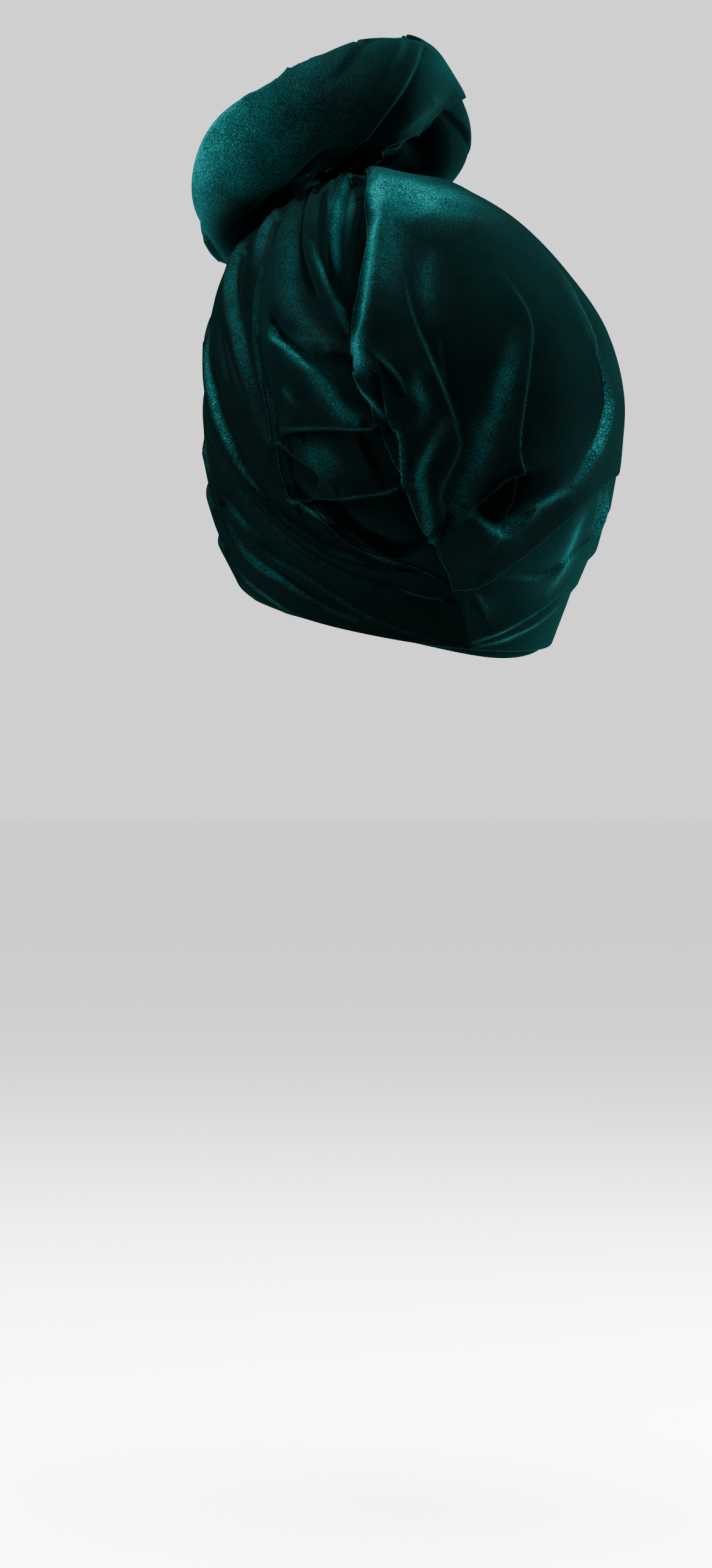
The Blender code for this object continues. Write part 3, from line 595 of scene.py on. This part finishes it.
def shell(name, outer, inner, painted_light):
    """One closed piece of cloth from its outer and inner grids, with a rounded border."""
    rows, columns = outer.shape[:2]
    points = [outer.reshape(-1, 3), inner.reshape(-1, 3)]
    faces = []
    behind = rows * columns

    def at(row, column):
        return row * columns + column

    for row in range(rows - 1):
        for column in range(columns - 1):
            quad = (at(row, column), at(row + 1, column),
                    at(row + 1, column + 1), at(row, column + 1))
            faces.append(quad)
            faces.append(tuple(corner + behind for corner in reversed(quad)))
    border = [(0, column) for column in range(columns)]
    border += [(row, columns - 1) for row in range(1, rows)]
    border += [(rows - 1, column) for column in range(columns - 2, -1, -1)]
    border += [(row, 0) for row in range(rows - 2, 0, -1)]
    ring = np.array([at(*place) for place in border])
    ring_outer = outer.reshape(-1, 3)[ring]
    ring_inner = inner.reshape(-1, 3)[ring]
    inside = []
    for row, column in border:
        inside.append(outer[min(max(row, 1), rows - 2), min(max(column, 1), columns - 2)])
    outwards = ring_outer - np.array(inside)
    outwards /= np.maximum(np.linalg.norm(outwards, axis=-1, keepdims=True), 1e-9)
    middle = (ring_outer + ring_inner) / 2
    half = (ring_outer - ring_inner) / 2
    round_off = np.linalg.norm(half, axis=-1, keepdims=True)
    loops = [ring]
    # Painted light: the outer side carries the folds' painted light and shade, the inner side
    # none.
    painted_lights = [painted_light.ravel(), np.zeros(behind)]
    for angle in (math.radians(45), math.radians(90), math.radians(135)):
        loops.append(len(border) * (len(loops) - 1) + 2 * behind + np.arange(len(border)))
        points.append(middle + half * math.cos(angle) + outwards * round_off * math.sin(angle))
        # The rounded border is painted as a highlight.
        painted_lights.append(np.maximum(painted_light.ravel()[ring], EDGE_PAINTED_LIGHT))
    loops.append(ring + behind)
    for first, second in zip(loops, loops[1:]):
        for place in range(len(border)):
            following = (place + 1) % len(border)
            faces.append((int(first[place]), int(first[following]),
                          int(second[following]), int(second[place])))
    return cloth_object(name, np.concatenate(points), faces, np.concatenate(painted_lights))


def cloth_object(name, points, faces, painted_light):
    """A smooth-shaded mesh object that keeps the light and shade painted at each point."""
    mesh = bpy.data.meshes.new(name)
    mesh.from_pydata(points.tolist(), [], faces)
    mesh.update()
    mesh.shade_smooth()
    mesh.attributes.new("painted_light", "FLOAT", "POINT").data.foreach_set("value", painted_light.astype(np.float32))
    piece = bpy.data.objects.new(name, mesh)
    bpy.context.collection.objects.link(piece)
    return piece


def colour(code):
    """Linear red, green, blue and full alpha of an sRGB hex colour."""
    parts = [int(code[place:place + 2], 16) / 255 for place in (1, 3, 5)]
    linear = [part / 12.92 if part <= 0.04045 else ((part + 0.055) / 1.055) ** 2.4
              for part in parts]
    return (*linear, 1.0)


def node(material, kind, settings=(), links=()):
    """Adds a node with its settings, and links its inputs."""
    made = material.node_tree.nodes.new(kind)
    for name, value in dict(settings).items():
        if isinstance(name, int) or name in made.inputs:
            made.inputs[name].default_value = value
        else:
            setattr(made, name, value)
    for name, source in dict(links).items():
        material.node_tree.links.new(source, made.inputs[name])
    return made


# Noise scales: tufts of 0.75 millimetres, and patches brushed one way about 14 millimetres wide.
TUFTS = 1350.0
BRUSHED = 70.0
PILE_HEIGHT = 0.0003
# Base colours from painted shade (black) to painted highlight (deep teal).
SHADE_TO_HIGHLIGHT_COLOURS = ((0.0, "#010202"), (0.2, "#030a0a"), (0.5, "#022020"), (1.0, "#104a4a"))
PILE_GLOW = "#00a8a4"


def stretch_velvet(name, ground, painted_strength, sheen):
    """Stretch velvet: a knitted ground with a short dense pile. Its base colour is painted light
    and
    shade: near black where a piece carries painted shade or none, deep teal where a painted
    highlight lies, above each piece's own ground tone, which is set lighter or darker piece by
    piece as the light falls on it. Its sheen glows at a glancing angle.
    Its tufts are finer than the render shows, so they are drawn at 0.75 millimetres."""
    material = bpy.data.materials.new(name)
    material.use_nodes = True
    material.node_tree.nodes.clear()
    output = node(material, "ShaderNodeOutputMaterial")
    place = node(material, "ShaderNodeTexCoord").outputs["Object"]
    tufts = node(material, "ShaderNodeTexNoise", {"Scale": TUFTS, "Detail": 2.0, "Roughness": 0.6},
                 {"Vector": place})
    brushed = node(material, "ShaderNodeTexNoise",
                   {"Scale": BRUSHED, "Detail": 3.0, "Roughness": 0.55}, {"Vector": place})
    # Painted light and shade: the base colour is read from the light and shade painted on each
    # point.
    pile = node(material, "ShaderNodeAttribute", {"attribute_name": "painted_light"})
    turned = node(material, "ShaderNodeMath", {"operation": "MULTIPLY_ADD", 1: painted_strength, 2: ground},
                  {0: pile.outputs["Fac"]})
    speckle = node(material, "ShaderNodeMath", {"operation": "MULTIPLY_ADD", 1: 2.3, 2: -0.45},
                   {0: tufts.outputs["Fac"]})
    patchy = node(material, "ShaderNodeMath", {"operation": "MULTIPLY_ADD", 1: 0.7, 2: -0.3},
                  {0: brushed.outputs["Fac"]})
    grain = node(material, "ShaderNodeMath", {"operation": "ADD"},
                 {0: speckle.outputs["Value"], 1: patchy.outputs["Value"]})
    shade = node(material, "ShaderNodeMath", {"operation": "MULTIPLY"},
                 {0: turned.outputs["Value"], 1: grain.outputs["Value"]})
    ramp = node(material, "ShaderNodeValToRGB", (), {"Fac": shade.outputs["Value"]})
    stops = ramp.color_ramp.elements
    for share, code in SHADE_TO_HIGHLIGHT_COLOURS:
        if share in (0.0, 1.0):
            stop = stops[0 if share == 0.0 else -1]
        else:
            stop = stops.new(share)
        stop.position = share
        stop.color = colour(code)
    bump = node(material, "ShaderNodeBump", {"Strength": 0.6, "Distance": PILE_HEIGHT},
                {"Height": tufts.outputs["Fac"]})
    shader = node(material, "ShaderNodeBsdfPrincipled", {
        "Roughness": 0.7,
        "IOR": 1.45,
        "Specular IOR Level": 0.0,
        "Sheen Weight": sheen,
        "Sheen Roughness": 0.5,
        "Sheen Tint": colour(PILE_GLOW),
    }, {"Base Color": ramp.outputs["Color"], "Normal": bump.outputs["Normal"]})
    material.node_tree.links.new(shader.outputs["BSDF"], output.inputs["Surface"])
    return material


def seam_point(share):
    """Azimuth and down of the back seam, at shares of the way from the gather to the corner."""
    return smooth(BACK_SEAM, share)[..., 0], GATHER_DOWN + share * (CORNER_DOWN - GATHER_DOWN)


def crown_edge_down(azimuth):
    """Down of the crown panel's lower edge at an azimuth."""
    edge = smooth(CROWN_EDGE, np.linspace(0, 1, 300))
    return np.interp(-np.asarray(azimuth), -edge[:, 0], edge[:, 1])


def edge_lift(points, line, proud, reach):
    """Lift of cloth beside its folded edge."""
    return proud * np.exp(-(line_distance(points, line) / reach) ** 2)


def shares(seen, hidden, split):
    """Shares across a panel, close together where the view shows it and further apart beyond."""
    return np.concatenate([np.linspace(0, split, seen), np.linspace(split, 1, hidden + 1)[1:]])


EDGE_PROUD = 0.0026
FOOT_PROUD = 0.0012
EDGE_REACH = 0.012
CROWN_ROWS = 214
CROWN_COLUMNS = shares(180, 44, 0.55)
crown_along, crown_round = np.meshgrid(np.linspace(0, 1, CROWN_ROWS), CROWN_COLUMNS, indexing="ij")
seam_azimuth, _seam_down = seam_point(crown_along)
crown_azimuth = seam_azimuth + crown_round * (-180 - seam_azimuth)
crown_foot = crown_edge_down(CORNER_AZIMUTH + crown_round * (-180 - CORNER_AZIMUTH))
crown_down = GATHER_DOWN + crown_along * (crown_foot - GATHER_DOWN)
seam_line = cap(*seam_point(np.linspace(0, 1, 60)))
edge_azimuths = np.linspace(CORNER_AZIMUTH, -180, 80)
crown_edge_line = cap(edge_azimuths, crown_edge_down(edge_azimuths))
crown_bare = cap(crown_azimuth, crown_down)
crown_lift = np.maximum(edge_lift(crown_bare, seam_line, EDGE_PROUD, EDGE_REACH),
                        edge_lift(crown_bare, crown_edge_line, FOOT_PROUD, EDGE_REACH))
crown_panel = shell("crown_cloth", *dress(crown_azimuth, crown_down, crown_lift))
crown_panel.data.materials.append(stretch_velvet("stretch_velvet_crown",
                                                 ground=0.085, painted_strength=1.0, sheen=0.012))
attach(crown_panel, "root")
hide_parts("crown_panel")


# The gathered panel.
# The same velvet, drawn up between the left wrap's rim and the back seam, so that it lies in
# short cross folds. Its sides are tucked under its neighbours.
LEFT_WRAP = (
    (78, 0.00, 180, 0.00),
    (78, 0.19, 180, 0.17),
    (78, 0.36, 180, 0.34),
    (78, 0.48, 180, 0.54),
    (75, 0.57, 180, 0.78),
    (70, 0.655, 172, 1.00),
    (65, 0.735, 140, 1.00),
    (56, 0.775, 108, 1.00),
    (46, 0.825, 74, 1.00),
    (30, 0.855, 38, 1.00),
    (14, 0.895, 4, 1.00),
)
UNDER = 0.0028
RUCHED_SIDES = (-0.14, 1.14)
TUCK_BEGINS = 0.02
TUCK_OVER = 0.06
RUCHED_ROWS = 290
RUCHED_COLUMNS = 150
RUCHED_ENDS = 0.99


def rim_point(share):
    """Azimuth and down of the left wrap's rim, at shares of the way from the gather."""
    azimuth, down = np.moveaxis(smooth(LEFT_WRAP, share), -1, 0)[:2]
    return azimuth, GATHER_DOWN + (1 - GATHER_DOWN) * down


ruched_along, ruched_across = np.meshgrid(np.linspace(0, RUCHED_ENDS, RUCHED_ROWS),
                                          np.linspace(*RUCHED_SIDES, RUCHED_COLUMNS),
                                          indexing="ij")
rim_azimuth, rim_down = rim_point(ruched_along)
seam_azimuth, seam_down = seam_point(ruched_along)
ruched_azimuth = rim_azimuth + ruched_across * (seam_azimuth - rim_azimuth)
ruched_down = rim_down + ruched_across * (seam_down - rim_down)
ruched_down = np.clip(ruched_down, GATHER_DOWN, 1)
beyond = np.maximum(-ruched_across, ruched_across - 1) + TUCK_BEGINS
ruched_lift = -UNDER * np.clip(beyond / TUCK_OVER, 0, 1)
ruched_panel = shell("ruched_cloth", *dress(ruched_azimuth, ruched_down, ruched_lift))
ruched_panel.data.materials.append(stretch_velvet("stretch_velvet_gathered",
                                                  ground=0.05, painted_strength=1.0, sheen=0.010))
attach(ruched_panel, "root")
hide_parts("ruched_panel")


# The left wrap.
# The same velvet in long pleats that come from under the roll round the left side and sweep
# down to the nape. Its upper edge is folded over and lies on the gathered panel.
RIM_PROUD = 0.0012
RIM_STARTS = 0.50
RIM_FULL = 0.68
LEFT_ROWS = 286
LEFT_COLUMNS = shares(144, 24, 0.62)
left_along, left_across = np.meshgrid(np.linspace(0, 1, LEFT_ROWS), LEFT_COLUMNS, indexing="ij")
_azimuth, _down, far_azimuth, far_reach = np.moveaxis(smooth(LEFT_WRAP, left_along), -1, 0)
rim_azimuth, rim_down = rim_point(left_along)
far_azimuth = np.minimum(far_azimuth, 180)
far_down = GATHER_DOWN + np.minimum(far_reach, 1) * (hem_down(far_azimuth) - GATHER_DOWN)
left_azimuth = rim_azimuth + left_across * (far_azimuth - rim_azimuth)
left_down = rim_down + left_across * (far_down - rim_down)
rim_line = cap(*rim_point(np.linspace(0, 1, 60)))
left_lift = edge_lift(cap(left_azimuth, left_down), rim_line, RIM_PROUD, EDGE_REACH)
left_lift *= np.clip((left_down - RIM_STARTS) / (RIM_FULL - RIM_STARTS), 0, 1)
left_wrap = shell("left_cloth", *dress(left_azimuth, left_down, left_lift))
# Painted shade: this piece gets a lower ground tone and less sheen than the others, so the left
# wrap stays dark where the left light falls on it.
left_wrap.data.materials.append(stretch_velvet("stretch_velvet_left",
                                               ground=0.035, painted_strength=1.0, sheen=0.004))
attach(left_wrap, "root")
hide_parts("left_wrap")


# The under layer.
# The same velvet below the crown panel's folded edge, from the nape round the right side. Its
# top is tucked under that edge, and its foot is turned in round the opening.
NAPE_ROWS = 84
NAPE_COLUMNS = shares(190, 70, 0.5)
NAPE_TUCKED = 0.12
NAPE_TUCK_ENDS = 0.03
nape_across, nape_round = np.meshgrid(np.linspace(-NAPE_TUCKED, 1, NAPE_ROWS), NAPE_COLUMNS,
                                      indexing="ij")
top_azimuth = CORNER_AZIMUTH + nape_round * (-180 - CORNER_AZIMUTH)
pinch_azimuth = LEFT_WRAP[-1][2]
foot_azimuth = pinch_azimuth + nape_round * (-180 - pinch_azimuth)
nape_azimuth = top_azimuth + nape_across * (foot_azimuth - top_azimuth)
nape_top = crown_edge_down(top_azimuth)
nape_down = nape_top + nape_across * (hem_down(foot_azimuth) - nape_top)
nape_lift = -UNDER * np.clip((NAPE_TUCK_ENDS - nape_across) / TUCK_OVER, 0, 1)
nape_wrap = shell("nape_cloth", *dress(nape_azimuth, nape_down, nape_lift))
nape_wrap.data.materials.append(stretch_velvet("stretch_velvet_nape",
                                               ground=0.08, painted_strength=1.0, sheen=0.025))
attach(nape_wrap, "root")
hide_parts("nape_wrap")


# The band inside the opening.
# A strip of the same velvet, folded lengthwise and sewn inside the opening, and rolled a little
# below the edge at the back.
BAND_THICKNESS = 0.002
BAND_GAP = 0.0008
BAND_INSIDE = 0.008
BAND_SHOWS = 0.0045
BAND_SHOWS_AT = -16.0
BAND_SHOWS_OVER = 42.0
BAND_SIDES = 12
BAND_STATIONS = 360


def closed_tube(name, rings, painted_light):
    """One closed body from rings of points that follow each other round a loop."""
    stations, sides = rings.shape[:2]
    faces = []
    for station in range(stations):
        following = (station + 1) % stations
        for side in range(sides):
            beside = (side + 1) % sides
            faces.append((station * sides + side, following * sides + side,
                          following * sides + beside, station * sides + beside))
    return cloth_object(name, rings.reshape(-1, 3), faces, painted_light.ravel())


band_azimuth, band_angle = np.meshgrid(np.linspace(-180, 180, BAND_STATIONS, endpoint=False),
                                       np.linspace(0, 2 * np.pi, BAND_SIDES, endpoint=False),
                                       indexing="ij")
shows = BAND_SHOWS * np.exp(-((band_azimuth - BAND_SHOWS_AT) / BAND_SHOWS_OVER) ** 2)
band_middle = cap(band_azimuth, hem_down(band_azimuth))[..., 2] + BAND_INSIDE / 2 - shows / 2
band_down = down_at(band_middle + (BAND_INSIDE + shows) / 2 * np.sin(band_angle))
band_depth = CLOTH + BAND_GAP + BAND_THICKNESS / 2 * (1 - np.cos(band_angle))
hem_band = closed_tube("band_cloth", cap(band_azimuth, band_down)
                       - square_to_cap(band_azimuth, band_down) * band_depth[..., None],
                       np.zeros(band_azimuth.shape))
hem_band.data.materials.append(stretch_velvet("stretch_velvet_band",
                                              ground=0.10, painted_strength=1.0, sheen=0.012))
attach(hem_band, "root")
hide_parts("hem_band")


# The topknot.
# A padded tube of the same velvet, twisted and bent into a ring that stands up on the crown. Its
# ends are tucked into each other, and the ring is held by the twist of the gather under it.

# The roll's own folds, in the same columns as the cap's.
ROLL_FOLDS = (
    ("strand_1", "left", 2.6, 3.2, 12, 2.2, 8, 0.7, 0.6, 0.5, 1.0,
     ((693, 83), (683, 110), (670, 137), (653, 163), (633, 190), (610, 217), (587, 240),
      (563, 260), (550, 272))),
    ("strand_1_lit", "right", 1.2, 1.0, 8, 7.0, 8, 0.4, 0.3, 0.25, 7.0,
     ((730, 160), (705, 182), (678, 203), (650, 222))),
    ("near_lobe", "above", 2.6, 3.4, 9, 2.8, 8, 0.6, 0.5, 0.22, 1.0,
     ((760, 163), (717, 187), (700, 207), (667, 227), (633, 243), (607, 267), (593, 275))),
    ("lobe_pleat", "left", 1.6, 1.6, 4, 1.8, 4, 0.3, 0.4, 0.2, 0.9,
     ((713, 167), (708, 177), (703, 190))),
    ("notch_1", "left", 1.0, 1.6, 9, 5.0, 9, 0.6, 0.1, 0.1, 2.0,
     ((674, 40), (668, 58), (658, 88), (640, 118), (622, 140))),
    ("notch_2", "left", 1.0, 1.6, 9, 5.0, 9, 0.8, 0.1, 0.1, 2.0,
     ((596, 52), (588, 70), (575, 94), (557, 116), (540, 130))),
    ("strand_2", "below", 3.0, 3.0, 12, 2.6, 8, 0.5, 0.6, 0.7, 1.3,
     ((500, 92), (482, 108), (462, 133), (435, 150), (410, 163), (390, 180), (367, 196),
      (350, 215))),
    ("strand_2b", "below", 1.4, 1.2, 7, 1.8, 5, 0.6, 0.3, 0.35, 0.9,
     ((470, 122), (450, 140), (425, 152), (402, 166), (380, 183))),
    # A broad painted highlight across the roll's left part.
    ("roll_sheen", "left", 0.8, 0.8, 14, 12.0, 14, 0.2, 0.2, 0.32, 9.0,
     ((400, 250), (435, 225), (470, 200), (510, 175))),
    ("low_strand", "above", 3.0, 4.5, 10, 3.4, 9, 0.6, 0.6, 0.15, 1.2,
     ((560, 234), (532, 242), (508, 260), (487, 280), (467, 297), (440, 316), (415, 340))),
    ("low_edge", "above", 2.2, 3.4, 6, 2.6, 6, 0.4, 0.5, 0.2, 1.0,
     ((593, 270), (553, 270), (527, 280), (507, 297), (487, 317))),
    ("low_fill", "below", 5.0, 0.0, 12, 6.0, 5, 0.6, 0.4, 0.0, 1.0,
     ((610, 248), (575, 252), (540, 258), (515, 276), (495, 296))),
    ("low_shade", "left", 2.0, 4.0, 10, 7.0, 9, 0.3, 0.3, -0.85, 6.0,
     ((600, 255), (560, 256), (520, 274), (485, 302), (450, 325), (420, 350), (395, 385))),
    ("end_shade", "left", 0.2, 0.2, 10, 7.0, 9, 0.3, 0.3, -0.6, 9.0,
     ((440, 330), (410, 352), (385, 380), (365, 410))),
    ("tip_pleat", "left", 1.6, 1.8, 5, 2.2, 5, 0.3, 0.6, 0.3, 1.0,
     ((334, 385), (345, 405), (360, 427))),
    ("far_lobe", "above", 1.8, 1.8, 6, 2.2, 6, 0.4, 0.4, 0.1, 1.0,
     ((730, 180), (750, 200), (763, 217), (770, 240))),
)
STRANDS = 3
STRAND_TWIST = 1
STRAND_GROOVE = 0.0028
# Painted light on the roll: its strength on the left side, the turn where it is strongest, how far
# round it spreads, and how much painted shade darkens the underside.
ROLL_PAINTED_LIGHT = 1.0
ROLL_PAINTED_LIGHT_TURN = 95.0
ROLL_PAINTED_LIGHT_SPREAD = 62.0
ROLL_PAINTED_SHADE_UNDER = 0.5
SEEN_OVER = 0.4
ROLL_STATIONS = 420
ROLL_SIDES = 160


def roll_grid(stations, sides):
    """Turns round the ring and angles round the roll, with the roll's outward directions."""
    turn, angle = np.meshgrid(np.linspace(0, 2 * np.pi, stations, endpoint=False),
                              np.linspace(0, 2 * np.pi, sides, endpoint=False), indexing="ij")
    side = np.sin(turn)[..., None] * ring_left + np.cos(turn)[..., None] * ring_back
    return turn, angle, side * np.cos(angle)[..., None] + ring_square * np.sin(angle)[..., None]


roll_turn, roll_angle, roll_out = roll_grid(ROLL_STATIONS, ROLL_SIDES)
seen = np.clip(roll_out @ toward / SEEN_OVER, 0, 1)
strand = np.abs(np.sin((STRANDS * roll_angle - STRAND_TWIST * STRANDS * roll_turn) / 2))
groove = STRAND_GROOVE * (1 - strand) ** 2 * (1 - seen)
roll_reach = ROLL_RADIUS * ring_shares(roll_turn)[2] - groove
roll_bare = ring_line(roll_turn) + roll_out * roll_reach[..., None]
closed = np.concatenate([roll_bare, roll_bare[:1]])
roll_tree = surface_tree(np.concatenate([closed, closed[:, :1]], axis=1))
roll_relief = np.zeros(roll_turn.shape)
# Painted light on the roll: the left side is painted light, fading out round the ring, and the
# underside is painted darker as painted shade.
away_from_left = (np.degrees(roll_turn) - ROLL_PAINTED_LIGHT_TURN + 180) % 360 - 180
roll_painted_light = ROLL_PAINTED_LIGHT * np.exp(-(away_from_left / ROLL_PAINTED_LIGHT_SPREAD) ** 2)
roll_painted_light *= 1 - ROLL_PAINTED_SHADE_UNDER * np.clip(-roll_out[..., 2], 0, 1)
roll_unshaded = np.ones(roll_turn.shape)
for fold in ROLL_FOLDS:
    laid = lay_fold(fold, *touch(roll_tree, fold_path(fold)))
    height, fold_painted_light = fold_height(roll_bare, roll_out, laid)
    roll_relief += height
    roll_painted_light = np.maximum(roll_painted_light, fold_painted_light)
    # Rows with a negative strength paint shade on the roll.
    roll_unshaded *= 1 + np.minimum(fold_painted_light, 0)
roll_painted_light = roll_painted_light * roll_unshaded - (1 - roll_unshaded)
topknot = closed_tube("topknot_cloth", roll_bare + roll_out * roll_relief[..., None], roll_painted_light)
topknot.data.materials.append(stretch_velvet("stretch_velvet_topknot",
                                             ground=0.06, painted_strength=0.64, sheen=0.030))
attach(topknot, "root")
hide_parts("topknot_roll")


# The studio.
# A pale floor, a white room and three large soft lights, from the left, the right and above.
FLOOR_HEIGHT = -0.413
FLOOR_RADIUS = 40.0
ROOM_LIGHT = 1.4
LAMP_SIZE = 0.8
LAMPS_AIM = Vector((0, 0, 0.1))
bpy.ops.object.select_all(action="DESELECT")
bpy.ops.mesh.primitive_circle_add(vertices=96, radius=FLOOR_RADIUS, fill_type="NGON",
                                  location=(0, 0, FLOOR_HEIGHT))
floor = bpy.context.object
floor.name = "floor"
floor_paint = bpy.data.materials.new("studio_floor_paint")
floor_paint.use_nodes = True
floor_shader = floor_paint.node_tree.nodes["Principled BSDF"]
floor_shader.inputs["Base Color"].default_value = colour("#f4f4f2")
floor_shader.inputs["Roughness"].default_value = 0.9
floor.data.materials.append(floor_paint)

world = bpy.data.worlds.new("studio")
world.use_nodes = True
world.node_tree.nodes["Background"].inputs["Color"].default_value = (1, 1, 1, 1)
world.node_tree.nodes["Background"].inputs["Strength"].default_value = ROOM_LIGHT
bpy.context.scene.world = world


def soft_light(name, across, forward, height, power):
    """A round area light, placed by how far right, how far forward and how high it is."""
    data = bpy.data.lights.new(name, "AREA")
    data.shape = "DISK"
    data.size = LAMP_SIZE
    data.energy = power
    lamp = bpy.data.objects.new(name, data)
    place = Vector(rightward * across + toward * forward + upward * height)
    lamp.location = place
    lamp.rotation_euler = (LAMPS_AIM - place).to_track_quat("-Z", "Y").to_euler()
    bpy.context.collection.objects.link(lamp)


soft_light("left_light", -1.4, -0.1, 0.7, 140.0)
soft_light("right_light", 1.4, -0.4, 0.3, 250.0)
soft_light("top_light", 0.0, 0.1, 1.7, 170.0)
